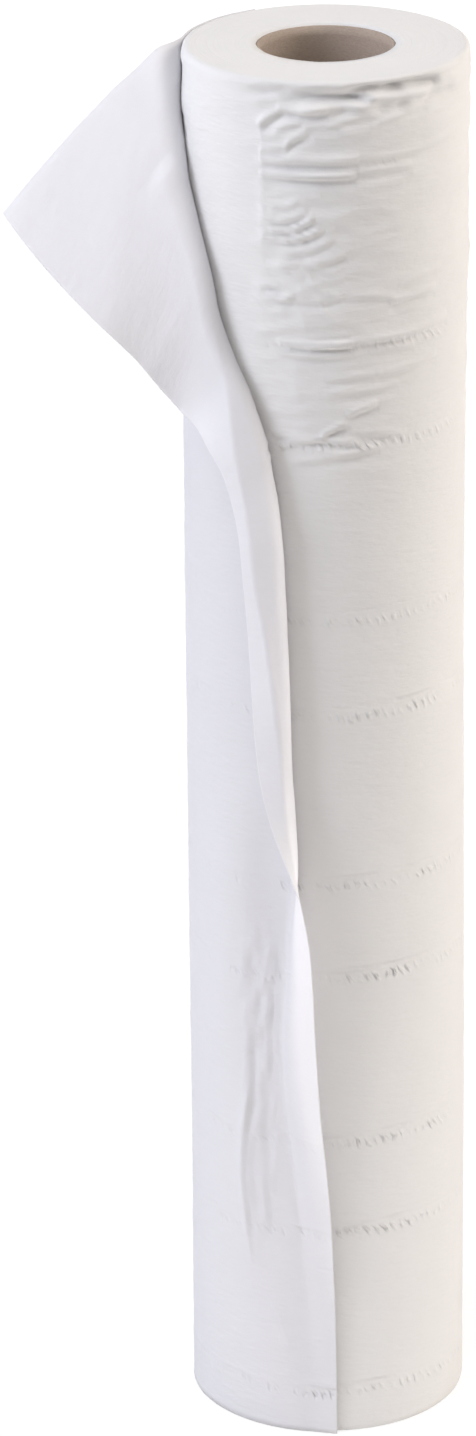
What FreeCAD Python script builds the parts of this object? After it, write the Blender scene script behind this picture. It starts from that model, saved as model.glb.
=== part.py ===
import FreeCAD, Part

import math
import os
import Sketcher
from FreeCAD import Vector

# Exam table paper roll: a 500 mm wide web of two-ply tissue, wound on a thin board tube.
# The roll stands on one end. Its last turn has come loose: at the foot the free end still lies
# on the winding, higher up it curls away from it, and the upper corner is turned back to the
# left as a drooping flap. Z is the winding axis, z = 0 the end that the roll stands on.
# Angles about Z are counted from the left side (-X) towards the front (-Y), the way of winding.

# Driving dimensions: millimetres and degrees.
SIZES = {
    "web_width": 500.0,
    "roll_radius": 48.75,
    "core_bore_radius": 22.5,
    "core_wall": 1.0,
    "core_setback": 0.8,        # how far the tube's upper end stops inside the web
    "winding_clearance": 0.05,  # between the tube and the first turn
    "pressed_sheet": 0.2,       # what one turn adds to the tight winding's radius
    "loose_sheet": 0.4,         # the same tissue where nothing presses it
    "rim_chamfer": 0.8,         # the soft outer edges of the two ends
    "turn_pitch": 5.5,          # between the fine rings that the turns show on the ends
    "turn_groove": 0.25,        # the rings' depth
    "turn_groove_half": 0.7,    # half the width of each
    "last_turn_start": -40.0,   # where the last turn leaves the tight winding
    "last_turn_tuck": 0.03,     # how deep it starts under the turn that it grows out of
    "free_end": 94.0,           # where the free end of the web lies at the foot
    "edge_inset": 0.25,         # between the loose turn's edges and the winding's end faces
    "crease_radius": 2.0,       # of the loose turn's crease
}

# The loose turn at stations up the web. At each one it leaves the winding at peel degrees,
# curls outwards at curl_radius until it has turned by turn degrees, and goes on straight.
# Halfway up it is creased as well: crease_along millimetres beyond the winding it turns on by
# crease_turn degrees. The curl's axis leans back by lean degrees, which makes the sheet droop.
STATION_ITEMS = ("share", "peel", "curl_radius", "turn", "lean", "crease_along", "crease_turn")
STATIONS = [
    (0.00, 93.0, 60.0, 0.5, 0.0, 40.0, 0.0),
    (0.15, 80.0, 44.0, 16.0, 5.0, 40.0, 0.0),
    (0.30, 69.0, 22.0, 60.0, 6.0, 40.0, 0.0),
    (0.38, 71.0, 13.0, 95.0, 5.0, 30.0, 0.0),
    (0.44, 74.0, 7.0, 138.0, 5.0, 15.0, 20.0),
    (0.52, 71.0, 4.0, 150.0, 5.0, 9.0, 38.0),
    (0.60, 70.0, 3.5, 157.0, 5.0, 11.0, 40.0),
    (0.68, 66.5, 3.5, 162.0, 7.0, 15.0, 48.0),
    (0.74, 63.0, 4.0, 157.0, 13.0, 19.0, 35.0),
    (0.78, 57.0, 4.5, 160.0, 21.0, 18.0, 28.0),
    (0.82, 43.0, 5.0, 170.0, 29.0, 12.0, 10.0),
    (0.87, 33.0, 5.0, 151.0, 35.0, 10.0, 0.0),
    (0.92, 16.0, 6.0, 132.0, 42.0, 10.0, 0.0),
    (1.00, -12.0, 6.0, 112.0, 47.0, 10.0, 0.0),
]

SHEET_ROWS = 84         # sections up the web that the loose turn is lofted through
ROW_POINTS = 12         # points of a section's curve from the fold to the free end
CROWDING = 1.15         # how much closer together the points stand next to the fold
FOLD_LIMIT = 30.0       # degrees that the curves' start keeps from the free end
CURL_STEP = 0.5         # millimetres of web in one step round a curl
ROOT_OVERLAP = 2.0      # degrees that the loose turn reaches into the tight winding


def add_sizes(doc):
    """Put every driving dimension in the spreadsheet, one aliased cell each."""
    sheet = doc.addObject("Spreadsheet::Sheet", "sizes")
    cells = dict(SIZES)
    for number, station in enumerate(STATIONS):
        for name, value in zip(STATION_ITEMS, station):
            cells["%s_at_%s" % (name, chr(ord("a") + number))] = value
    for row, (alias, value) in enumerate(cells.items(), start=1):
        sheet.set("A%d" % row, alias)
        sheet.set("B%d" % row, str(value))
        sheet.setAlias("B%d" % row, alias)
    doc.recompute()
    return sheet


def origin_plane(body, role):
    """The body's own origin plane with this role, such as XY_Plane."""
    for feature in body.Origin.OriginFeatures:
        if feature.Role == role:
            return feature
    raise ValueError("no origin plane " + role)


def sketch_on(body, name, role):
    sketch = body.newObject("Sketcher::SketchObject", name)
    sketch.AttachmentSupport = [(origin_plane(body, role), "")]
    sketch.MapMode = "FlatFace"
    return sketch


def constrain(sketch, constraint, expression):
    """Add a dimension to the sketch and bind it to the spreadsheet."""
    index = sketch.addConstraint(constraint)
    sketch.setExpression("Constraints[%d]" % index, expression)


def check(doc):
    """Stop if any object of the document failed to compute."""
    doc.recompute()
    for item in doc.Objects:
        if "Invalid" in item.State or "Error" in item.State:
            raise RuntimeError("%s did not compute: %s" % (item.Name, item.State))


def add_circle(sketch, radius):
    """A circle about the sketch's origin, its radius bound to an expression."""
    index = sketch.addGeometry(Part.Circle(Vector(0, 0, 0), Vector(0, 0, 1), 20.0), False)
    sketch.addConstraint(Sketcher.Constraint("Coincident", index, 3, -1, 1))
    constrain(sketch, Sketcher.Constraint("Radius", index, 20.0), radius)


def add_triangle(sketch, corners):
    """A closed triangle, each corner's two coordinates bound to expressions.

    A corner is (x, y, x expression, y expression).
    """
    points = [Vector(x, y, 0) for x, y, _, _ in corners]
    sides = [sketch.addGeometry(Part.LineSegment(points[i], points[(i + 1) % 3]), False)
             for i in range(3)]
    for i, (x, y, x_size, y_size) in enumerate(corners):
        sketch.addConstraint(
            Sketcher.Constraint("Coincident", sides[i], 2, sides[(i + 1) % 3], 1))
        constrain(sketch, Sketcher.Constraint("DistanceX", -1, 1, sides[i], 1, x), x_size)
        constrain(sketch, Sketcher.Constraint("DistanceY", -1, 1, sides[i], 1, y), y_size)


def core_tube(doc):
    """The board tube: a plain pipe, flush with the web below and a little inside it above."""
    body = doc.addObject("PartDesign::Body", "core_tube")
    body.Label = "core_tube"
    section = sketch_on(body, "core_section", "XY_Plane")
    add_circle(section, "sizes.core_bore_radius")
    add_circle(section, "sizes.core_bore_radius + sizes.core_wall")
    pipe = body.newObject("PartDesign::Pad", "core_pipe")
    pipe.Profile = section
    pipe.setExpression("Length", "sizes.web_width - sizes.core_setback")
    return body


def winding_section(body):
    """The tight winding from above: a two-centre spiral, so that the last turn has its step.

    The half turn before the step has its centre moved a quarter of a sheet towards the step.
    """
    sizes = body.Document.sizes
    start = math.radians(180.0 + sizes.last_turn_start)
    small = sizes.roll_radius - sizes.pressed_sheet
    shift = sizes.pressed_sheet / 2
    axis = Vector(0, 0, 1)
    towards_step = Vector(math.cos(start), math.sin(start), 0)
    section = sketch_on(body, "winding_section", "XY_Plane")
    near = section.addGeometry(Part.ArcOfCircle(
        Part.Circle(Vector(0, 0, 0), axis, small), start, start + math.pi), False)
    far = section.addGeometry(Part.ArcOfCircle(
        Part.Circle(towards_step * shift, axis, small + shift), start - math.pi, start), False)
    step = section.addGeometry(Part.LineSegment(
        towards_step * (small + 2 * shift), towards_step * small), False)
    spoke = section.addGeometry(Part.LineSegment(
        Vector(0, 0, 0), towards_step * small), True)
    section.addConstraint([
        Sketcher.Constraint("Coincident", near, 3, -1, 1),
        Sketcher.Constraint("Coincident", spoke, 1, -1, 1),
        Sketcher.Constraint("Coincident", spoke, 2, near, 1),
        Sketcher.Constraint("Coincident", near, 2, far, 1),
        Sketcher.Constraint("Coincident", far, 2, step, 1),
        Sketcher.Constraint("Coincident", step, 2, near, 1),
        Sketcher.Constraint("PointOnObject", near, 2, spoke),
        Sketcher.Constraint("PointOnObject", far, 3, spoke),
        Sketcher.Constraint("PointOnObject", far, 2, spoke),
    ])
    constrain(section, Sketcher.Constraint("Radius", near, small),
              "sizes.roll_radius - sizes.pressed_sheet")
    constrain(section, Sketcher.Constraint("Radius", far, small + shift),
              "sizes.roll_radius - sizes.pressed_sheet / 2")
    constrain(section, Sketcher.Constraint("Angle", -1, 1, spoke, 1, start),
              "(180 + sizes.last_turn_start) * 1 deg")
    add_circle(section, "sizes.core_bore_radius + sizes.core_wall + sizes.winding_clearance")
    return section


def end_section(body):
    """Half section of what is turned off the two ends: a ring for some turns, and soft rims."""
    sizes = body.Document.sizes
    bore = sizes.core_bore_radius + sizes.core_wall + sizes.winding_clearance
    bore_size = "sizes.core_bore_radius + sizes.core_wall + sizes.winding_clearance"
    width, depth, half = sizes.web_width, sizes.turn_groove, sizes.turn_groove_half
    outside, rim = sizes.roll_radius, sizes.rim_chamfer
    rings = int((outside - rim - bore) / sizes.turn_pitch - 0.5)
    section = sketch_on(body, "end_section", "XZ_Plane")
    for face, face_size, way in ((0.0, "0", 1), (width, "sizes.web_width", -1)):
        tip_size = "%s + %d * sizes.turn_groove" % (face_size, way)
        for ring in range(1, rings + 1):
            radius = bore + ring * sizes.turn_pitch
            radius_size = "%s + %d * sizes.turn_pitch" % (bore_size, ring)
            add_triangle(section, [
                (radius - half, face, radius_size + " - sizes.turn_groove_half", face_size),
                (radius, face + way * depth, radius_size, tip_size),
                (radius + half, face, radius_size + " + sizes.turn_groove_half", face_size)])
        outer_size = "sizes.roll_radius + sizes.rim_chamfer"
        add_triangle(section, [
            (outside - rim, face, "sizes.roll_radius - sizes.rim_chamfer", face_size),
            (outside + rim, face + way * 2 * rim, outer_size,
             "%s + %d * sizes.rim_chamfer" % (face_size, 2 * way)),
            (outside + rim, face, outer_size, face_size)])
    return section


def tight_winding(doc):
    """All turns but the loose end of the last one, wound into one body."""
    body = doc.addObject("PartDesign::Body", "tight_winding")
    body.Label = "tight_winding"
    turns = body.newObject("PartDesign::Pad", "turns")
    turns.Profile = winding_section(body)
    turns.setExpression("Length", "sizes.web_width")
    doc.recompute()
    ends = body.newObject("PartDesign::Groove", "turned_ends")
    ends.Profile = end_section(body)
    ends.ReferenceAxis = (ends.Profile[0], ["V_Axis"])
    ends.Angle = 360.0
    doc.recompute()
    print("turned off the ends: %.1f mm3" % (turns.Shape.Volume - ends.Shape.Volume))
    return body


def station_value(sizes, name, share):
    """A station dimension at any share of the web's width, smooth and without overshoot."""
    shares, values = [[sizes.get("%s_at_%s" % (item, chr(ord("a") + number)))
                       for number in range(len(STATIONS))] for item in ("share", name)]
    spans = [b - a for a, b in zip(shares, shares[1:])]
    slopes = [(b - a) / span for a, b, span in zip(values, values[1:], spans)]
    tangents = [slopes[0]] + [
        2 * a * b / (a + b) if a * b > 0 else 0.0 for a, b in zip(slopes, slopes[1:])
    ] + [slopes[-1]]
    i = max(k for k in range(len(spans)) if share >= shares[k] or k == 0)
    t = (share - shares[i]) / spans[i]
    return ((1 + 2 * t) * (1 - t) ** 2 * values[i] + t * (1 - t) ** 2 * spans[i] * tangents[i]
            + t * t * (3 - 2 * t) * values[i + 1] + t * t * (t - 1) * spans[i] * tangents[i + 1])


def fold_angle(sizes, share):
    """Where a section's curve takes over from its arc on the winding, in degrees."""
    return min(station_value(sizes, "peel", share), sizes.free_end - FOLD_LIMIT)


def web_line(sizes, share, radius, height):
    """The loose turn's middle line from the fold to the free end, as a row of points."""
    fold = fold_angle(sizes, share)
    peel = math.radians(station_value(sizes, "peel", share))
    lean = math.radians(station_value(sizes, "lean", share))
    turn = math.radians(station_value(sizes, "turn", share))
    bend = math.cos(lean) / station_value(sizes, "curl_radius", share)
    crease_along = station_value(sizes, "crease_along", share)
    crease_turn = math.radians(station_value(sizes, "crease_turn", share))
    crease_half = sizes.crease_radius * crease_turn / 2 + CURL_STEP / 2
    onward = Vector(math.sin(peel), -math.cos(peel), 0)
    outward = Vector(-math.cos(peel), -math.sin(peel), 0)
    up = Vector(0, 0, 1)
    point = outward * radius + up * height
    gone = radius * peel
    line = []
    for number in range(ROW_POINTS):
        part = (number / (ROW_POINTS - 1)) ** CROWDING
        angle = math.radians(fold + (sizes.free_end - fold) * part)
        if angle <= peel:
            line.append(Vector(-radius * math.cos(angle), -radius * math.sin(angle), height))
            continue
        steps = max(1, math.ceil((radius * angle - gone) / CURL_STEP))
        length = (radius * angle - gone) / steps
        for _ in range(steps):
            loose = gone + length / 2 - radius * peel
            creased = min(max((loose - crease_along) / crease_half, -1), 1)
            turned = min(bend * loose, turn) + crease_turn * (creased + 1) / 2
            across = math.cos(lean) ** 2 * math.cos(turned) + math.sin(lean) ** 2
            droop = math.sin(lean) * math.cos(lean) * (1 - math.cos(turned))
            point = point + (onward * across - up * droop
                             + outward * math.cos(lean) * math.sin(turned)) * length
            gone += length
        line.append(point)
    return line


def winding_arc(radius, height, start, end):
    """An arc on the winding between two angles counted from the left side, in degrees."""
    ring = Part.Circle(Vector(0, 0, height), Vector(0, 0, 1), radius)
    return Part.ArcOfCircle(ring, math.radians(180 + start), math.radians(180 + end)).toShape()


def row_section(sizes, fold, line, below, above):
    """A closed wire round the sheet's section along one row, from the rows on both sides."""
    half = sizes.loose_sheet / 2
    outer, inner = [], []
    for i, point in enumerate(line):
        along = line[min(i + 1, len(line) - 1)] - line[max(i - 1, 0)]
        side = along.cross(above[i] - below[i])
        if i == 0:
            side = Vector(point.x, point.y, 0)
        outer.append(point + side.normalize() * half)
        inner.append(point - side.normalize() * half)
    curves = [Part.BSplineCurve(), Part.BSplineCurve()]
    curves[0].interpolate(outer)
    curves[1].interpolate(inner)
    radius, height = math.hypot(line[0].x, line[0].y), line[0].z
    arcs = [winding_arc(radius + offset, height, sizes.last_turn_start - ROOT_OVERLAP, fold)
            for offset in (half, -half)]
    root = Part.makeLine(arcs[1].Vertexes[0].Point, arcs[0].Vertexes[0].Point)
    return Part.Wire([arcs[0], curves[0].toShape(), Part.makeLine(outer[-1], inner[-1]),
                      curves[1].toShape(), arcs[1], root])


def loose_turn_solid(sizes):
    """The loose last turn: a loft through the sheet's sections, row by row up the web."""
    radius = sizes.roll_radius - sizes.last_turn_tuck - sizes.loose_sheet / 2
    span = sizes.web_width - 2 * sizes.edge_inset
    shares = [row / (SHEET_ROWS - 1) for row in range(SHEET_ROWS)]
    rows = [web_line(sizes, share, radius, sizes.edge_inset + span * share)
            for share in shares]
    sections = [row_section(sizes, fold_angle(sizes, shares[i]), rows[i], rows[max(i - 1, 0)],
                            rows[min(i + 1, SHEET_ROWS - 1)]) for i in range(SHEET_ROWS)]
    faces = Part.makeLoft(sections, False, True).Faces
    for section in (sections[0], sections[-1]):
        arc, curve, end, back_curve, back_arc, root = section.Edges
        for pair in ((arc, back_arc), (curve, back_curve)):
            edge = Part.makeLoft([Part.Wire(side) for side in pair], False, True)
            faces.append(edge.Faces[0])
    shell = Part.makeShell(faces)
    shell.sewShape()
    solid = Part.makeSolid(shell)
    if solid.Volume < 0:
        solid.reverse()
    return solid


def paper_roll(doc):
    """The web as one solid: the tight winding with its loose last turn."""
    loose_turn = doc.addObject("Part::Feature", "loose_turn")
    loose_turn.Label = "loose_turn"
    loose_turn.Shape = loose_turn_solid(doc.sizes)
    loose_turn.Placement = FreeCAD.Placement()
    web = doc.addObject("Part::Fuse", "paper_roll")
    web.Label = "paper_roll"
    web.Base = tight_winding(doc)
    web.Tool = loose_turn
    web.Refine = False
    return web


doc = FreeCAD.newDocument("exam_table_paper_roll")
add_sizes(doc)
pieces = [core_tube(doc), paper_roll(doc)]
check(doc)
os.makedirs("parts", exist_ok=True)
for piece in pieces:
    if piece.Shape.isNull() or not piece.Shape.isValid() or len(piece.Shape.Solids) != 1:
        raise RuntimeError(piece.Label + " is not one valid solid")
    piece.Shape.exportStep("parts/%s.step" % piece.Label)
    box = piece.Shape.BoundBox
    print("%s: %.1f cm3, x %.1f to %.1f, y %.1f to %.1f, z %.1f to %.1f" % (
        piece.Label, piece.Shape.Volume / 1000, box.XMin, box.XMax, box.YMin, box.YMax,
        box.ZMin, box.ZMax))
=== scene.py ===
import math
import bpy
import numpy as np
from mathutils import Matrix, Vector, noise


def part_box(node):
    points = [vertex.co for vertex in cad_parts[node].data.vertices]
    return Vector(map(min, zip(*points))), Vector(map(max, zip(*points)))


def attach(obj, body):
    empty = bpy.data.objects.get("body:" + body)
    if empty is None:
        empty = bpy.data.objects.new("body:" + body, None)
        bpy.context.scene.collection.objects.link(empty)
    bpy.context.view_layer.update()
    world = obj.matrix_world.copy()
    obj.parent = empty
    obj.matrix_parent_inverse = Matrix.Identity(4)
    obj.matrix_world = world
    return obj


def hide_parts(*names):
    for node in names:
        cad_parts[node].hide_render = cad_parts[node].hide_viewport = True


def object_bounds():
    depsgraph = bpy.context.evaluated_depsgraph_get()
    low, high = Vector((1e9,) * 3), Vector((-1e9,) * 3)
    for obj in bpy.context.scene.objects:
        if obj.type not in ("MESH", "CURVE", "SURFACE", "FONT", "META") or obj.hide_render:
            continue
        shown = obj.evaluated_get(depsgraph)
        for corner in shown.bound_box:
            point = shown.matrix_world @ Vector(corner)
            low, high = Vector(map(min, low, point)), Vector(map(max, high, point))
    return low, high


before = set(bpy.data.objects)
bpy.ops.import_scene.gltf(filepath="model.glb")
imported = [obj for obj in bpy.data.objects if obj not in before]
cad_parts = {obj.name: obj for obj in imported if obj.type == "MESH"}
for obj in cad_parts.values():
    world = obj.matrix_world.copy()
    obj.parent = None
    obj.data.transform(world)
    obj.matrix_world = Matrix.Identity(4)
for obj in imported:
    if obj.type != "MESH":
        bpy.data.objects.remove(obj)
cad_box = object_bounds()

# ---------------------------------------------------------------- view
# A long lens a little over two metres in front of the roll and about a metre above its foot,
# tipped down so that the upper end and the whole height are in view.
mm = 0.001
view_place = Vector((0.0, -2130.95, 1106.62)) * mm
view_tip = 0.37999      # radians below level
view_turn = 0.01461     # to the left of straight ahead
view_bank = -0.00737
lens_mm, film_mm = 164.42, 36.0
camera_data = bpy.data.cameras.new("view")
camera_data.sensor_width = film_mm
camera_data.lens = lens_mm
camera = bpy.data.objects.new("view", camera_data)
bpy.context.collection.objects.link(camera)
camera.matrix_world = (Matrix.Translation(view_place) @ Matrix.Rotation(view_turn, 4, "Z")
                       @ Matrix.Rotation(math.pi / 2 - view_tip, 4, "X")
                       @ Matrix.Rotation(view_bank, 4, "Z"))
bpy.context.scene.camera = camera
bpy.context.scene.view_settings.view_transform = "Standard"

# ---------------------------------------------------------------- core tube
# A thin tube of grey-brown board, wound as a spiral of glued strips and cut square.
# The tissue is wound straight onto it, so only its bore and its two cut ends show.
tube_low, tube_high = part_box("core_tube")
tube_outer = tube_high.x / mm
tube_wall = 1.0
tube_columns, tube_rows = 180, 150
strip_width = 82.0          # height that one turn of the innermost strip climbs
seam_half_width, seam_depth = 0.35, 0.12
board_dark, board_pale = (0.34, 0.27, 0.22), (0.52, 0.44, 0.38)


def loop_mesh(name, rows, folded=False):
    """A mesh from closed rings of points in millimetres, the last ring joined to the first.
    Folded rings go out along a sheet and back along its other side, and are closed flat."""
    rings, count = len(rows), len(rows[0])
    index = np.arange(rings * count).reshape(rings, count)
    across = np.roll(index, -1, axis=1)
    quads = np.stack([index, across, np.roll(across, -1, axis=0), np.roll(index, -1, axis=0)],
                     axis=-1)
    faces = (quads[:-1] if folded else quads).reshape(-1, 4).tolist()
    if folded:
        for k in range(count // 2 - 1):
            first, last = (index[row][[k, k + 1, count - 2 - k, count - 1 - k]]
                           for row in (0, -1))
            faces += [first[::-1].tolist(), last.tolist()]
    mesh = bpy.data.meshes.new(name)
    mesh.from_pydata((np.concatenate(rows) * mm).tolist(), [], faces)
    mesh.polygons.foreach_set("use_smooth", [True] * len(mesh.polygons))
    piece = bpy.data.objects.new(name, mesh)
    bpy.context.collection.objects.link(piece)
    return piece


def ring(radius, height, angles):
    """Points at these angles about Z, counted from the left side towards the front."""
    return np.stack([-radius * np.cos(angles), -radius * np.sin(angles),
                     height + 0 * angles], axis=-1)


tube_angles = np.linspace(0, 2 * math.pi, tube_columns, endpoint=False)
tube_low_z, tube_high_z = tube_low.z / mm, tube_high.z / mm
tube_rings = []
for height in np.linspace(tube_high_z, tube_low_z, tube_rows):
    climb = (height / strip_width - tube_angles / (2 * math.pi)) % 1.0 * strip_width
    seam = np.exp(-((climb - strip_width / 2) / seam_half_width) ** 2)
    tube_rings.append(ring(tube_outer - tube_wall + seam_depth * seam, height, tube_angles))
for height in (tube_low_z, tube_high_z):
    tube_rings.append(ring(tube_outer + 0 * tube_angles, height, tube_angles))
core_tube = loop_mesh("core_board_tube", tube_rings)


def new_material(name):
    """A material with an empty node tree but for its Principled shader and the output."""
    material = bpy.data.materials.new(name)
    material.use_nodes = True
    shader = material.node_tree.nodes["Principled BSDF"]
    return material, material.node_tree, shader


def add_node(tree, kind, **settings):
    """A new node of this kind with these settings."""
    node = tree.nodes.new(kind)
    for name, value in settings.items():
        setattr(node, name, value)
    return node


def mixed_colour(tree, factor, first, second):
    """A colour that goes from first to second as the factor's output goes from 0 to 1."""
    mix = add_node(tree, "ShaderNodeMix", data_type="RGBA")
    tree.links.new(factor, mix.inputs["Factor"])
    mix.inputs[6].default_value = (*first, 1)
    mix.inputs[7].default_value = (*second, 1)
    return mix.outputs[2]


def noise_output(tree, vector, scale, detail=3.0, stretch=(1, 1, 1)):
    """A noise texture on the given coordinates, stretched by a mapping."""
    mapping = add_node(tree, "ShaderNodeMapping")
    mapping.inputs["Scale"].default_value = stretch
    texture = add_node(tree, "ShaderNodeTexNoise")
    texture.inputs["Scale"].default_value = scale
    texture.inputs["Detail"].default_value = detail
    tree.links.new(vector, mapping.inputs["Vector"])
    tree.links.new(mapping.outputs["Vector"], texture.inputs["Vector"])
    return texture.outputs["Fac"]


def add_bump(tree, shader, height, distance, strength=1.0, under=None):
    """A bump of this height over the shader's surface, on top of another one if given."""
    bump = add_node(tree, "ShaderNodeBump")
    bump.inputs["Distance"].default_value = distance
    bump.inputs["Strength"].default_value = strength
    tree.links.new(height, bump.inputs["Height"])
    if under is not None:
        tree.links.new(under.outputs["Normal"], bump.inputs["Normal"])
    tree.links.new(bump.outputs["Normal"], shader.inputs["Normal"])
    return bump


# grey-brown fibres, matt, with a rough grain
board, tree, shader = new_material("raw_board")
place = add_node(tree, "ShaderNodeTexCoord").outputs["Object"]
fibres = noise_output(tree, place, 900.0, 4.0, (1, 1, 3))
tree.links.new(mixed_colour(tree, fibres, board_dark, board_pale), shader.inputs["Base Color"])
shader.inputs["Roughness"].default_value = 0.85
shader.inputs["Specular IOR Level"].default_value = 0.25
add_bump(tree, shader, fibres, 0.0002, 0.5)
core_tube.data.materials.append(board)
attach(core_tube, "root")
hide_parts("core_tube")

# ---------------------------------------------------------------- tight winding
# All the turns but the last: two-ply tissue, pulled tight on the tube. Knurled wheels have
# pressed the plies together in pairs of rings, again and again up the web. The outer turns are
# wrinkled towards the upper end, where their edge is crushed.
web_low, web_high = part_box("paper_roll")
web_width = (web_high.z - web_low.z) / mm
roll_radius = 48.75
last_turn_start = -60.0     # degrees round from the left side, so at the back
free_end = 94.0             # a little right of the front
last_turn_step = 0.3        # how much the last turn stands off the one below
start_recess = 0.12         # how much deeper the winding is below the last turn's start
tube_play = 0.1
winding_bore = tube_outer + tube_play
rim_rounding, foot_rounding = 2.2, 1.2
flat_margin = 1.2           # between the upper face's outermost ring and the rounded rim
end_unevenness, end_sunk = 0.16, 0.12
wrinkled_from, crushed_from = 365, 484      # heights
plain_row, wrinkled_row, rim_row = 3.5, 1.15, 0.7
tissue_dark, tissue_pale = (0.76, 0.76, 0.77), (0.80, 0.80, 0.80)


def smooth_step(value, low, high):
    """0 below low and 1 above high, with a soft rise between them."""
    share = np.clip((value - low) / (high - low), 0, 1)
    return share * share * (3 - 2 * share)


def bell(value, middle, half_width):
    """1 at the middle, and soon 0 on both sides of it."""
    return np.exp(-((value - middle) / half_width) ** 2)


def web_noise(angles, height, along, up, seed):
    """Smooth noise on the winding: its patches are so long along the web and up it, in mm."""
    x = -roll_radius * np.cos(angles) / along
    y = -roll_radius * np.sin(angles) / along
    z = height / up + seed * 7.31 + 0 * angles
    return np.array([noise.noise((a, b, c)) for a, b, c in zip(x.flat, y.flat, z.flat)]
                    ).reshape(np.shape(x))


crispness = 1.9             # all creases stand out so much more than their own depths say


def crease(angles, height, start, end, depth, width, bow=0.0):
    """A ridge with a valley below it, from start to end, each (degrees, height). It bows by so
    many mm in the middle and dies out at both ends."""
    along = np.array([math.radians(end[0] - start[0]) * roll_radius, end[1] - start[1]])
    length = np.hypot(*along)
    along /= length
    x = (angles - math.radians(start[0])) * roll_radius
    y = height - start[1] + 0 * angles
    share = (x * along[0] + y * along[1]) / length
    off = y * along[0] - x * along[1] - bow * 4 * share * (1 - share)
    fade = np.clip(share * (1 - share) * 4, 0, 1) ** 0.5 * ((share > 0) & (share < 1))
    return crispness * depth * fade * (bell(off, width * 0.6, width)
                                       - 0.8 * bell(off, -width * 0.9, width))


def wrinkles(angles, height):
    """Shallow creases that run round the roll, most of them towards its upper end."""
    degrees = np.degrees(angles)
    high = smooth_step(height, 330, 430)
    front = smooth_step(degrees, 56, 66) * (1 - 0.55 * smooth_step(degrees, 92, 104))
    climb = height - 0.10 * angles * roll_radius
    fine = web_noise(angles, climb, 22, 3.2, 1)
    broad = web_noise(angles, height, 45, 13, 2)
    sharp = 1 - 3.0 * np.abs(web_noise(angles, climb, 20, 6.5, 3))
    scales = 1 - 3.0 * np.abs(web_noise(angles, height + 0.5 * angles * roll_radius, 9, 5, 4))
    scaly = (0.45 * front * smooth_step(height, 405, 425) * (1 - smooth_step(height, 458, 470))
             * (1 - smooth_step(degrees, 88, 100)))
    return ((0.08 + 0.40 * high * front) * fine + (0.16 + 0.40 * high) * broad
            + (0.05 + 0.45 * high * front) * np.clip(sharp, 0, 1) + scaly * np.clip(scales, 0, 1))


def crushed_rim(angles, height):
    """The outer turns' upper edge, crushed inwards round the front."""
    degrees = np.degrees(angles)
    where = smooth_step(degrees, 60, 76) * (1 - smooth_step(degrees, 146, 165))
    lumps = web_noise(angles, height, 6, 5, 5)
    folds = 1 - 2.6 * np.abs(web_noise(angles, height, 12, 6, 6))
    band = smooth_step(height, crushed_from, 491) * (1 - smooth_step(height, 496, 499.5))
    return -where * band * (0.5 + 0.9 * lumps + 0.8 * np.clip(folds, 0, 1))


def hollow(angles, height, middle, size, depth):
    """A dent pressed into the web: middle is (degrees, height) and size its half axes in mm."""
    x = (np.degrees(angles) - middle[0]) * math.pi / 180 * roll_radius
    return -depth * np.exp(-(x / size[0]) ** 2 - ((height - middle[1]) / size[1]) ** 2)


# each dent's middle (degrees, height), half axes and depth: those of the crushed rim
rim_dents = (
    ((92, 494.3), (9, 1.8), 2.5), ((102, 493.8), (5, 1.2), 2.0), ((108, 497), (6, 1.4), 2.8),
    ((126, 497), (8, 1.7), 3.2), ((135, 495.6), (5, 1.6), 2.7), ((66, 495), (8, 2.4), 1.6),
    ((118, 496), (4, 1.4), 2.2))
# and the lumps pushed out below them
rim_lumps = (
    ((88, 491.3), (8, 1.1), -1.1), ((104, 491), (5, 1.4), -1.4), ((110, 493.5), (4, 1.1), -1.4),
    ((130, 493), (6, 1.5), -1.3), ((120, 493), (4, 1.4), -1.0))
# each crease's start and end (degrees, height), depth, width and bow: short ones between the rim
# and the two folds that run round the roll, and those two
creases_by_the_rim = (
    ((63, 483), (73, 489), 0.6, 1.4, 0.8), ((70, 489.4), (91, 489.4), 0.8, 1.5, -0.3),
    ((64, 476), (76, 477), 0.6, 1.3, -0.4), ((74, 477), (84, 482.5), 0.5, 1.3, 0.5),
    ((70, 482.5), (81, 485.5), 0.4, 1.1, 0.4), ((90, 484), (112, 487), 0.3, 1.3, 0.8),
    ((108, 483), (134, 488), 0.3, 1.3, 0.8),
    ((63, 472.3), (103, 472.3), 0.8, 1.8, 0.0), ((100, 472.5), (152, 475), 0.35, 1.3, -0.8),
    ((63, 466.7), (102, 466.6), 0.9, 1.6, 0.3), ((98, 467.5), (126, 468.5), 0.4, 1.4, 0.5))
# arcs that hang beside the upright fold, one below another
hanging_creases = (
    ((65, 457.5), (80, 459), 0.4, 1.1, -1.8), ((64, 452), (83, 455.5), 0.5, 1.1, -2.2),
    ((65, 448.5), (86, 453), 0.6, 1.1, -2.4), ((67, 445), (90, 450), 0.5, 1.1, -2.4),
    ((72, 440), (94, 446), 0.35, 1.1, -1.8), ((66, 436), (80, 437), 0.3, 1.0, -1.2),
    ((80, 436), (98, 440), 0.3, 1.1, -1.2))
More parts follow.
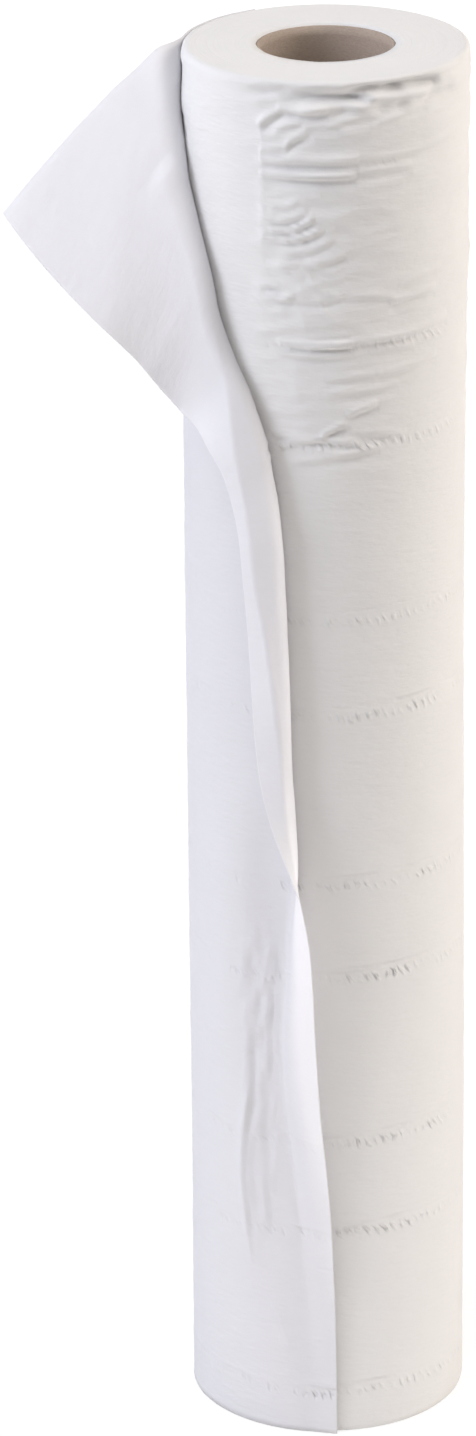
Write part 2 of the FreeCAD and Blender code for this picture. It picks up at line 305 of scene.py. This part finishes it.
# wavy ones that run round the roll
wavy_creases = (
    ((64, 428), (72, 427), 0.4, 1.0, 1.0), ((66, 425.5), (78, 424.5), 0.5, 1.1, -0.8),
    ((78, 424), (98, 425), 0.45, 1.2, -0.8), ((97, 424.5), (119, 423), 0.4, 1.2, 0.9),
    ((116, 421.5), (139, 423), 0.6, 1.2, 0.4), ((120, 427), (143, 430), 0.35, 1.1, 0.5),
    ((70, 408.6), (101, 408.2), 0.8, 1.3, -0.5), ((70, 405), (104, 405), 0.5, 1.2, -0.6),
    ((99, 409), (147, 411.5), 0.6, 1.4, -0.8), ((104, 404), (128, 405), 0.35, 1.1, 0.8),
    ((89, 395.5), (113, 397), 0.4, 1.2, 0.5), ((110, 397), (140, 399.5), 0.5, 1.3, -0.5),
    ((94, 391), (120, 393), 0.3, 1.1, -0.6))
# a patch of them that cross, and faint ones below it
crossing_creases = (
    ((88, 376), (99, 380.5), 0.6, 1.1, 0.3), ((98, 383), (111, 386.5), 0.5, 1.1, 0.3),
    ((66, 377), (90, 374.5), 0.5, 1.2, -0.6), ((68, 371), (86, 374), 0.45, 1.1, 0.6),
    ((84, 375), (104, 372.5), 0.45, 1.1, 0.5), ((88, 369.5), (112, 371), 0.45, 1.2, -0.6),
    ((102, 376), (124, 374), 0.35, 1.2, 0.6), ((76, 367), (104, 369), 0.35, 1.2, -0.4),
    ((96, 362), (126, 364), 0.2, 1.2, 0.5), ((90, 352), (124, 352), 0.2, 1.3, -0.5),
    ((82, 346), (110, 347), 0.2, 1.3, 0.5))
# where the outer turn below the flap ends, a straight fold runs up: degrees, height
upright_fold, upright_height = 64.3, 0.24


def surface_relief(angles, height):
    """How far the paper stands off the even roll, for angles and heights of the same shape."""
    # the roll is a little narrower at mid-height, and bends a little to the left
    sway = bell(height, 310, 120) * (0.68 * np.cos(angles) - 0.33)
    total = (sway + 0.30 * web_noise(angles, height, 60, 90, 8) + wrinkles(angles, height)
             + crushed_rim(angles, height))
    for middle, size, depth in rim_dents + rim_lumps:
        total = total + hollow(angles, height, middle, size, depth)
    for start, end, depth, width, bow in (creases_by_the_rim + hanging_creases + wavy_creases
                                          + crossing_creases):
        total = total + crease(angles, height, start, end, depth, width, bow)
    upright = bell(np.degrees(angles), upright_fold, 1.6) * smooth_step(height, 425, 450)
    return total + upright_height * upright * (1 - smooth_step(height, 474, 492))


def winding_radius(angles):
    """The spiral's radius: a sheet less under the last turn than behind, where that starts."""
    degrees = (np.degrees(angles) - last_turn_start) % 360 + last_turn_start
    behind = np.clip((degrees - free_end) / (360 + last_turn_start - free_end), 0, 1)
    under = smooth_step(degrees, last_turn_start, last_turn_start + 3)
    recess = start_recess * under * (1 - smooth_step(
        degrees, last_turn_start + 20, last_turn_start + 40))
    return roll_radius - last_turn_step * (1 - behind) * under - recess


# columns and rows are closer together at the front and where the web is wrinkled; the rings of
# points go from the bore over the upper face, down the side and back under the foot
front_angles = np.radians(np.linspace(22, 205, 300, endpoint=False))
back_angles = np.radians(np.linspace(205, 382, 98, endpoint=False))
angles = np.concatenate([front_angles, back_angles])
side_heights, height = [], web_width - rim_rounding
while height > rim_rounding:
    side_heights.append(height)
    height -= (rim_row if height > crushed_from
               else wrinkled_row if height > wrinkled_from else plain_row)
side_heights.append(rim_rounding)
outline = winding_radius(angles)
rows = []
for radius in np.linspace(winding_bore, roll_radius - rim_rounding - flat_margin, 10):
    uneven = end_unevenness * web_noise(angles, radius * 40, 25, 60, 11)
    rows.append(ring(radius + 0 * angles, web_width + uneven - end_sunk, angles))
for turn in np.linspace(math.pi / 2, 0, 6)[:-1]:
    drop = rim_rounding * (1 - math.sin(turn))
    relief = surface_relief(angles, web_width - drop + 0 * angles) * (1 - turn / (math.pi / 2))
    rows.append(ring(outline + relief - rim_rounding * (1 - math.cos(turn)), web_width - drop,
                     angles))
for height in side_heights:
    rows.append(ring(outline + surface_relief(angles, height + 0 * angles), height, angles))
for turn in np.linspace(0, math.pi / 2, 4)[1:]:
    rows.append(ring(outline - foot_rounding * (1 - math.cos(turn)),
                     foot_rounding * (1 - math.sin(turn)), angles))
for radius in np.linspace(roll_radius - 2 * foot_rounding, winding_bore, 3):
    rows.append(ring(radius + 0 * angles, 0.0, angles))
winding = loop_mesh("tight_winding", rows)


def lay_web_map(piece, along, up, wrap=0.0):
    """A UV map that unrolls the web: u along it and v up it, in metres. Along and up are grids
    of millimetres, and wrap is the length from a ring's last column round to its first."""
    layer = piece.data.uv_layers.new(name="web")
    columns = along.shape[1]
    vertex = np.empty(len(piece.data.loops), dtype=np.int32)
    piece.data.loops.foreach_get("vertex_index", vertex)
    corner = np.arange(len(vertex))
    round_the_seam = ((corner // 4) % columns == columns - 1) & np.isin(corner % 4, (1, 2))
    u = along.ravel()[vertex] + wrap * round_the_seam
    layer.data.foreach_set("uv", (np.stack([u, up.ravel()[vertex]], axis=-1) * mm).ravel())


def calc(tree, operation, *values):
    """A maths node on sockets or numbers."""
    node = add_node(tree, "ShaderNodeMath", operation=operation)
    for socket, value in zip(node.inputs, values):
        if isinstance(value, (int, float)):
            socket.default_value = value
        else:
            tree.links.new(value, socket)
    return node.outputs[0]


def calc_bell(tree, value, middle, half_width):
    """The same as bell, on a socket."""
    share = calc(tree, "DIVIDE", calc(tree, "SUBTRACT", value, middle), half_width)
    square = calc(tree, "POWER", calc(tree, "ABSOLUTE", share), 2.0)
    return calc(tree, "EXPONENT", calc(tree, "MULTIPLY", square, -1.0))


pairs_apart = 98.0          # up the web, from one pair of pressed rings to the next
ring_heights = (18.5, 81.5)     # the lower ring of each pair, and the upper one
tick_spacing, tick_slant = 3.3, 0.5
raised_line, raised_half, raised_height = 2.2, 0.9, 0.30        # above each ring's middle
tick_row, tick_half, tick_depth = -1.2, 1.6, 0.38               # and below it
strongest_at, strongest_half = 90.0, 26.0   # along the web: at the front, beside the free end
faint_from = 480.0          # the rings are gone above this height


def pressed_rings(tree, web, along, up):
    """Height of the pressed rings: in each a raised line, and a row of slanting ticks below it
    that are uneven and partly gone."""
    wander = noise_output(tree, web, 22.0, 2.0, (1, 0.02, 1))
    level = calc(tree, "ADD", up, calc(tree, "MULTIPLY", wander, 3.0))
    jitter = calc(tree, "MULTIPLY", noise_output(tree, web, 150.0, 2.0), 4.5)
    uneven = calc(tree, "SUBTRACT", noise_output(tree, web, 190.0, 1.0), 0.32)
    uneven = calc(tree, "MULTIPLY", uneven, 5.5)
    total = 0.0
    for ring_height in ring_heights:
        pairs = calc(tree, "ADD", level, pairs_apart / 2 - ring_height)
        pairs = calc(tree, "FRACT", calc(tree, "DIVIDE", pairs, pairs_apart))
        off = calc(tree, "MULTIPLY", calc(tree, "SUBTRACT", pairs, 0.5), pairs_apart)
        slanted = calc(tree, "ADD", along, calc(tree, "MULTIPLY", off, tick_slant))
        slanted = calc(tree, "ADD", slanted, jitter)
        ticks = calc(tree, "COSINE", calc(tree, "MULTIPLY", slanted, 2 * math.pi / tick_spacing))
        ticks = calc(tree, "MAXIMUM", calc(tree, "ADD", ticks, 0.3), 0.0)
        line = calc(tree, "MULTIPLY", calc_bell(tree, off, raised_line, raised_half),
                    raised_height)
        pressed = calc(tree, "MULTIPLY", calc_bell(tree, off, tick_row, tick_half), -tick_depth)
        pressed = calc(tree, "MULTIPLY", calc(tree, "MULTIPLY", pressed, uneven), ticks)
        total = calc(tree, "ADD", total, calc(tree, "ADD", line, pressed))
    return total


def press_strength(tree, web, along, up, hanging):
    """How strongly the rings are pressed: in patches, most of all at the front, less towards
    the upper end, and hardly where the sheet hangs free."""
    patches = noise_output(tree, web, 75.0, 3.0, (1, 1.6, 1))
    patches = calc(tree, "MULTIPLY", calc(tree, "SUBTRACT", patches, 0.38), 5.0)
    strength = calc(tree, "MINIMUM", calc(tree, "MAXIMUM", patches, 0.12), 1.3)
    lying = calc(tree, "SUBTRACT", 1.0, calc(tree, "MULTIPLY", hanging, 0.85))
    front = calc(tree, "MULTIPLY", calc_bell(tree, along, strongest_at, strongest_half), 0.9)
    low = calc(tree, "MULTIPLY", calc(tree, "SUBTRACT", faint_from, up), 0.006)
    for share in (lying, calc(tree, "ADD", front, 0.35), calc(tree, "MINIMUM", low, 1.0)):
        strength = calc(tree, "MULTIPLY", strength, share)
    return strength


def paper_surface(tree, shader):
    """Tissue's crepe, its soft unevenness and its pressed rings as bumps over one another.
    Returns the uppermost, so that the caller can lay another over it."""
    web = add_node(tree, "ShaderNodeUVMap", uv_map="web").outputs["UV"]
    split = add_node(tree, "ShaderNodeSeparateXYZ")
    tree.links.new(web, split.inputs[0])
    along = calc(tree, "MULTIPLY", split.outputs["X"], 1000.0)
    up = calc(tree, "MULTIPLY", split.outputs["Y"], 1000.0)
    # only the loose last turn has this attribute, and the winding reads 0
    hanging = add_node(tree, "ShaderNodeAttribute", attribute_name="hanging").outputs["Fac"]
    crepe = calc(tree, "MULTIPLY", noise_output(tree, web, 190.0, 4.0, (1, 3.4, 1)), calc(
        tree, "SUBTRACT", 1.0, calc(tree, "MULTIPLY", hanging, 0.7)))
    soft = noise_output(tree, web, 130.0, 3.0, (1, 2.2, 1))
    marks = calc(tree, "MULTIPLY", pressed_rings(tree, web, along, up),
                 press_strength(tree, web, along, up, hanging))
    crepe_bump = add_bump(tree, shader, crepe, 0.0003, 0.6)
    soft_bump = add_bump(tree, shader, soft, 0.0006, 0.5, crepe_bump)
    return add_bump(tree, shader, marks, 0.001, 1.0, soft_bump)


# the winding's tissue: white and quite matt, a little clouded
tissue_white, tree, shader = new_material("tissue_white")
place = add_node(tree, "ShaderNodeTexCoord").outputs["Object"]
cloud = noise_output(tree, place, 35.0, 3.0)
tree.links.new(mixed_colour(tree, cloud, tissue_dark, tissue_pale), shader.inputs["Base Color"])
shader.inputs["Roughness"].default_value = 0.9
shader.inputs["Specular IOR Level"].default_value = 0.15
surface_bump = paper_surface(tree, shader)
# on the two end faces the turns' edges show as fine rings
level_place = add_node(tree, "ShaderNodeVectorMath", operation="MULTIPLY")
tree.links.new(place, level_place.inputs[0])
level_place.inputs[1].default_value = (1, 1, 0)
from_axis = add_node(tree, "ShaderNodeVectorMath", operation="LENGTH")
tree.links.new(level_place.outputs["Vector"], from_axis.inputs[0])
layers = add_node(tree, "ShaderNodeTexNoise", noise_dimensions="1D")
tree.links.new(from_axis.outputs["Value"], layers.inputs["W"])
layers.inputs["Scale"].default_value = 900.0
layers.inputs["Detail"].default_value = 3.0
facing = add_node(tree, "ShaderNodeSeparateXYZ")
tree.links.new(add_node(tree, "ShaderNodeNewGeometry").outputs["True Normal"], facing.inputs[0])
on_end = calc(tree, "POWER", calc(tree, "ABSOLUTE", facing.outputs["Z"]), 8.0)
add_bump(tree, shader, calc(tree, "MULTIPLY", layers.outputs["Fac"], on_end), 0.0004, 0.6,
         surface_bump)
winding.data.materials.append(tissue_white)
grid_angles = np.repeat(angles[None], len(rows), axis=0)
lay_web_map(winding, grid_angles * roll_radius, np.array(rows)[..., 2],
            2 * math.pi * roll_radius)
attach(winding, "root")
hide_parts("paper_roll")

# ---------------------------------------------------------------- loose last turn
# The end of the web, a single soft sheet. At the foot it lies on the winding up to its cut
# end. Higher up it curls away into a lip, is folded back on itself, and at the upper corner it
# is creased down the left side and droops outwards as a flap.

# at each share of the height, from the foot up: where the web leaves the winding (degrees), the
# radius of its curl, how far it turns there and how far the curl leans (degrees); then how far
# beyond that it is creased (mm) and by how much, and how much it turns back towards its free end
sheet_share = np.array([0, 0.15, 0.30, 0.38, 0.44, 0.52, 0.60, 0.68, 0.74, 0.78, 0.82, 0.87,
                        0.92, 1.0])
sheet_peel = np.array([82, 78, 69, 71, 73, 71, 69.7, 67.6, 63.3, 56, 43, 33, 16, -12])
sheet_curl = np.array([40, 6, 4.5, 4.5, 5.5, 5.5, 5.5, 5.5, 5, 4.5, 5, 5, 6, 6])
sheet_turn = np.array([4, 19, 36, 50, 82, 112, 134, 148, 147, 143, 168, 151, 132, 112])
sheet_lean = np.array([0, 5, 6, 5, 5, 5, 5, 7, 13, 21, 29, 35, 42, 47])
crease_at = np.array([40, 40, 40, 30, 16, 13.4, 16.8, 20.5, 20.3, 17, 12, 10, 10, 10])
crease_turn = np.array([0, 0, 0, 0, 30, 64, 58, 44, 42, 42, 10, 0, 0, 0])
sheet_relax = np.array([0, 9, 17, 15, 8, 0, 0, 0, 0, 0, 0, 0, 0, 0])
crease_radius = 2.4
relax_from, relax_to = 3, 18    # mm beyond where the web leaves the winding
fold_more, lip_less = 4.5, 2.0  # degrees of web more at the fold, and less at the lip below it
edge_stretch = 3.0
bulge_height, crumple_height = 2.4, 1.1     # of the lying part
free_from, free_to = 1.5, 8.0   # off the winding: from there the sheet counts as hanging free
sheet_thickness = 0.22
sheet_play, start_sink = 0.01, 0.1      # the sheet's start is sunk into the winding's recess
sheet_rows = 236
arc_columns, curl_columns = 90, 112
crowding = 1.25             # closer columns next to the curl
fold_limit = 25.0           # degrees that the curl's columns keep from the free end
# lying white is the tissue's colour; the hanging white is the same tissue painted much lighter,
# painted light for the light the free flap catches
lying_white, hanging_painted_light_white = (0.79, 0.79, 0.825), (0.955, 0.955, 0.98)
shining_through = (0.93, 0.925, 0.94)


def smooth_through(shares, values, wanted):
    """Values at the wanted shares, smooth and without overshoot between the given ones."""
    spans = np.diff(shares)
    slopes = np.diff(values) / spans
    tangents = np.concatenate([slopes[:1], np.where(
        slopes[1:] * slopes[:-1] > 0,
        2 * slopes[1:] * slopes[:-1] / np.where(slopes[1:] + slopes[:-1] == 0, 1,
                                                slopes[1:] + slopes[:-1]), 0), slopes[-1:]])
    i = np.clip(np.searchsorted(shares, wanted, side="right") - 1, 0, len(spans) - 1)
    t = (wanted - shares[i]) / spans[i]
    return ((1 + 2 * t) * (1 - t) ** 2 * values[i] + t * (1 - t) ** 2 * spans[i] * tangents[i]
            + t * t * (3 - 2 * t) * values[i + 1]
            + t * t * (t - 1) * spans[i] * tangents[i + 1])


def web_line(share, height, radius):
    """One row of the sheet's middle surface: its points and how far along the web they are."""
    peel, curl, turn, lean, bend_at, bend, relax = [
        float(smooth_through(sheet_share, values, np.array([share]))[0])
        for values in (sheet_peel, sheet_curl, sheet_turn, sheet_lean, crease_at, crease_turn,
                       sheet_relax)]
    bend = max(math.radians(bend), 1e-3)
    peel, turn, lean = math.radians(peel), math.radians(turn), math.radians(lean)
    end = math.radians(free_end + fold_more * float(bell(share, 0.6, 0.12))
                       - lip_less * float(bell(share, 0.28, 0.1)))
    fold = min(peel, end - math.radians(fold_limit))
    start = math.radians(last_turn_start)
    # the arc's columns are further apart at the back
    places = radius * np.concatenate([
        start + (fold - start) * np.interp(np.arange(arc_columns) / arc_columns,
                                           [0, 0.16, 1], [0, 0.46, 1]),
        fold + (end - fold) * (np.arange(curl_columns + 1) / curl_columns) ** crowding])
    # beyond the peel the web's way turns from onward to outward, about an axis that leans
    onward = np.array([math.sin(peel), -math.cos(peel), 0])
    outward = np.array([-math.cos(peel), -math.sin(peel), 0])
    upward = np.array([0, 0, 1.0])
    fine = np.linspace(0, max(places[-1] - radius * peel, 1e-3), 600)
    middle = (fine[1:] + fine[:-1]) / 2
    turned = (np.minimum(math.cos(lean) / curl * middle, turn) + bend * np.clip(
        (middle - bend_at) / (crease_radius * bend) + 0.5, 0, 1)
        - math.radians(relax) * smooth_step(middle, relax_from, relax_to))[:, None]
    way = (onward * (math.cos(lean) ** 2 * np.cos(turned) + math.sin(lean) ** 2)
           - upward * math.sin(lean) * math.cos(lean) * (1 - np.cos(turned))
           + outward * math.cos(lean) * np.sin(turned))
    path = np.concatenate([[[0, 0, 0]], np.cumsum(way * np.diff(fine)[:, None], axis=0)])
    path = path + outward * radius + upward * height
    on_roll = np.stack([-radius * np.cos(places / radius), -radius * np.sin(places / radius),
                        height + 0 * places], axis=-1)
    off_roll = np.stack([np.interp(places - radius * peel, fine, path[:, i])
                         for i in range(3)], axis=-1)
    return np.where((places <= radius * peel)[:, None], on_roll, off_roll), places


def soft_folds(places, height):
    """The free part's own shape: slack waves, a long soft step across the flap with a crumple
    where it begins, and a small ridge by the upper edge."""
    waves = np.array([noise.noise((a / 24, b / 30, 3.3)) for a, b in zip(
        places.flat, (height + 0 * places).flat)]).reshape(places.shape)
    line = height - 467 + 0.5 * np.clip(places - 46, 0, 100)
    crumple = bell(places, 27, 10) * (0.9 * bell(line, 2, 2.5) - 1.1 * bell(line, -3, 3.5))
    across = -0.55 * smooth_step(line, -6, 6) * smooth_step(places, 30, 44)
    return 0.7 * waves + across + crumple + 0.9 * bell(places, 16, 6) * smooth_step(
        height, 466, 476)


def pleat(angles, height, line, depth, softness):
    """A tuck that rises slowly from the left and drops sharply along a line of (height,
    degrees), upper end first."""
    heights, degrees = np.array(line[::-1]).T
    off = (np.degrees(angles) - np.interp(height, heights, degrees)) * math.pi / 180 * roll_radius
    share = np.clip((height - heights[0]) / (heights[-1] - heights[0]), 0, 1)
    return depth * np.sin(math.pi * share) ** 0.6 * np.where(
        off < 0, bell(off, 0, softness), bell(off, 0, 0.6))


# each tuck's line, depth and softness: one long bent one, and three short slanted ones by it
tucks = (
    (((142, 58.5), (124, 56.5), (108, 54.8), (100, 54.4), (88, 55), (64, 57)), 1.4, 3.0),
    (((190, 58.3), (174, 55.6)), 0.6, 2.5), (((190, 66.6), (168, 62.4)), 0.7, 2.5),
    (((128, 62.5), (104, 61)), 0.5, 2.5))
# and short creases across the lying part nearer the left side, and one low down by the lip
lying_creases = (
    ((14, 356), (26, 352), 0.25, 1.1, 0.6), ((16, 351), (25, 355), 0.25, 1.1, 0.4),
    ((13, 319), (24, 316), 0.25, 1.2, 0.6), ((64, 50), (73, 31), 0.2, 1.5, 0.6))


def slack(angles, height):
    """The lying part's own shape: it stands a little off the winding left of the lip, and is
    tucked and crumpled up and down there."""
    degrees = np.degrees(angles)
    bulge = smooth_step(degrees, 18, 50) * (1 - smooth_step(degrees, 53, 69))
    total = bulge_height * bulge * smooth_step(height, 40, 110) * (
        1 - smooth_step(height, 215, 260))
    slope = degrees + (height - 130) * -0.06
    crumpled = smooth_step(degrees, 52, 58) * (1 - smooth_step(degrees, 66, 72)) * smooth_step(
        height, 60, 100) * (1 - smooth_step(height, 180, 205))
    total = total + crumple_height * crumpled * web_noise(np.radians(slope), height, 3.0, 10, 12)
    for line, depth, softness in tucks:
        total = total + pleat(angles, height, line, depth, softness)
    for start, end, depth, width, bow in lying_creases:
        total = total + crease(angles, height, start, end, depth, width, bow)
    return total


sheet_radius = roll_radius - sheet_thickness / 2 - sheet_play
edge_inset = 0.2            # the sheet's two edges keep so far inside the winding's ends
sheet_width = web_width - 2 * edge_inset
shares = np.linspace(0, 1, sheet_rows)
heights = edge_inset + shares * sheet_width
grid, places = zip(*[web_line(s, h, sheet_radius) for s, h in zip(shares, heights)])
grid, places = np.array(grid), np.array(places)
normals = np.cross(np.gradient(grid, axis=1), np.gradient(grid, axis=0))
normals /= np.linalg.norm(normals, axis=-1, keepdims=True)
web_angles = places / sheet_radius
hanging = smooth_step(np.hypot(grid[..., 0], grid[..., 1]) - sheet_radius, free_from, free_to)
relief = surface_relief(web_angles, heights[:, None] + 0 * web_angles)
relief = (relief + np.maximum(slack(web_angles, heights[:, None]), 0)) * (1 - 0.9 * hanging)
relief = relief + hanging * soft_folds(places, heights[:, None])
start_blend = smooth_step(np.degrees(web_angles), last_turn_start, last_turn_start + 12)
grid = grid + normals * (relief - start_sink * (1 - start_blend))[..., None]
# the flap's upper edge is stretched a little upwards between the roll and the corner
outwards = np.clip((places + 10) / (places[:, -1:] + 10), 0, 1)
grid[..., 2] += edge_stretch * np.sin(math.pi * outwards) * smooth_step(
    shares, 0.88, 1.0)[:, None] * hanging
outer = grid + normals * sheet_thickness / 2
inner = grid - normals * sheet_thickness / 2
loose_turn = loop_mesh("loose_last_turn", [np.concatenate([a, b[::-1]])
                                           for a, b in zip(outer, inner)], folded=True)
# the same tissue as a single sheet: some light comes through it, most where it hangs free. Where
# it hangs free its colour is also painted much lighter, as painted light
tissue_single, tree, shader = new_material("tissue_single")
shader.inputs["Roughness"].default_value = 0.9
shader.inputs["Specular IOR Level"].default_value = 0.15
surface_bump = paper_surface(tree, shader)
through = add_node(tree, "ShaderNodeBsdfTranslucent")
through.inputs["Color"].default_value = (*shining_through, 1)
tree.links.new(surface_bump.outputs["Normal"], through.inputs["Normal"])
blend = add_node(tree, "ShaderNodeMixShader")
free = add_node(tree, "ShaderNodeAttribute", attribute_name="hanging").outputs["Fac"]
tree.links.new(calc(tree, "ADD", calc(tree, "MULTIPLY", free, 0.30), 0.12), blend.inputs["Fac"])
# painted light: the colour goes from the lying white to a much lighter painted white where the
# sheet hangs free
tree.links.new(mixed_colour(tree, free, lying_white, hanging_painted_light_white), shader.inputs["Base Color"])
tree.links.new(shader.outputs[0], blend.inputs[1])
tree.links.new(through.outputs[0], blend.inputs[2])
tree.links.new(blend.outputs[0], tree.nodes["Material Output"].inputs["Surface"])
loose_turn.data.materials.append(tissue_single)
there_and_back = np.concatenate([places, places[:, ::-1]], axis=1)
layer = loose_turn.data.attributes.new("hanging", "FLOAT", "POINT")
layer.data.foreach_set("value", np.concatenate([hanging, hanging[:, ::-1]], axis=1).ravel())
lay_web_map(loose_turn, there_and_back, heights[:, None] + 0 * there_and_back)
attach(loose_turn, "root")
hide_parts("paper_roll")

# ---------------------------------------------------------------- floor and light
# A white floor under an even light: cool windows on the left, warm ones on the right, and soft
# light from above and behind. Seen directly, the floor glows almost plain white, so that the
# roll's shadow on it stays faint.
floor_side = 12.0
floor_gap = 0.0002          # the floor lies so far below the roll's foot
glow_share, glow_strength = 0.8, 1.08
floor_white = (0.90, 0.885, 0.865)
sky_colour, sky_strength = (1, 0.935, 0.86), 0.20
floor_mesh = bpy.data.meshes.new("floor")
floor_mesh.from_pydata([(x * floor_side / 2, y * floor_side / 2, 0) for x, y in
                        ((-1, -1), (1, -1), (1, 1), (-1, 1))], [], [(0, 1, 2, 3)])
floor = bpy.data.objects.new("floor", floor_mesh)
floor.location.z = cad_box[0][2] - floor_gap
bpy.context.collection.objects.link(floor)
paint, tree, shader = new_material("floor_white")
shader.inputs["Base Color"].default_value = (*floor_white, 1)
shader.inputs["Roughness"].default_value = 1.0
shader.inputs["Specular IOR Level"].default_value = 0.0
rays = add_node(tree, "ShaderNodeLightPath")
glow = add_node(tree, "ShaderNodeEmission")
glow.inputs["Strength"].default_value = glow_strength
seen = add_node(tree, "ShaderNodeMixShader")
seen_directly = calc(tree, "MAXIMUM", calc(
    tree, "MAXIMUM", rays.outputs["Is Camera Ray"], rays.outputs["Is Glossy Ray"]),
    rays.outputs["Is Transmission Ray"])
tree.links.new(calc(tree, "MULTIPLY", seen_directly, glow_share), seen.inputs["Fac"])
tree.links.new(shader.outputs[0], seen.inputs[1])
tree.links.new(glow.outputs[0], seen.inputs[2])
tree.links.new(seen.outputs[0], tree.nodes["Material Output"].inputs["Surface"])
floor_mesh.materials.append(paint)

world = bpy.data.worlds.new("sky")
world.use_nodes = True
world.node_tree.nodes["Background"].inputs["Color"].default_value = (*sky_colour, 1)
world.node_tree.nodes["Background"].inputs["Strength"].default_value = sky_strength
bpy.context.scene.world = world


def window(name, around, up, power, colour, width=1.0, height=1.2, distance=2.0, aim=0.25):
    """A soft lamp: so many degrees round from the front to the right, and above level. It is
    turned to the point of the axis at the height called aim."""
    light = bpy.data.lights.new(name, "AREA")
    light.shape = "RECTANGLE"
    light.size, light.size_y = width, height
    light.energy, light.color = power, colour
    lamp = bpy.data.objects.new(name, light)
    turn, rise = math.radians(around), math.radians(up)
    target = Vector((0, 0, aim))
    away = Vector((math.cos(rise) * math.sin(turn), -math.cos(rise) * math.cos(turn),
                   math.sin(rise)))
    lamp.location = target + distance * away
    lamp.rotation_euler = (-away).to_track_quat("-Z", "Y").to_euler()
    bpy.context.collection.objects.link(lamp)


window("left_window", -65, 32, 23.0, (0.87, 0.90, 1.0), width=0.9)
window("left_sky", -110, 14, 6.5, (0.84, 0.89, 1.0))
window("back_window", -170, 5, 13.0, (1.0, 0.98, 0.98))
window("ceiling_light", -20, 70, 11.5, (1.0, 0.97, 0.94))
window("right_window", 92, 34, 22.0, (1.0, 0.93, 0.87))
window("right_fill", 92, 8, 8.0, (1.0, 0.92, 0.83))
window("foot_card", -5, 2, 0.11, (1.0, 0.99, 0.98), width=0.6, height=0.05, distance=0.26,
       aim=0.02)
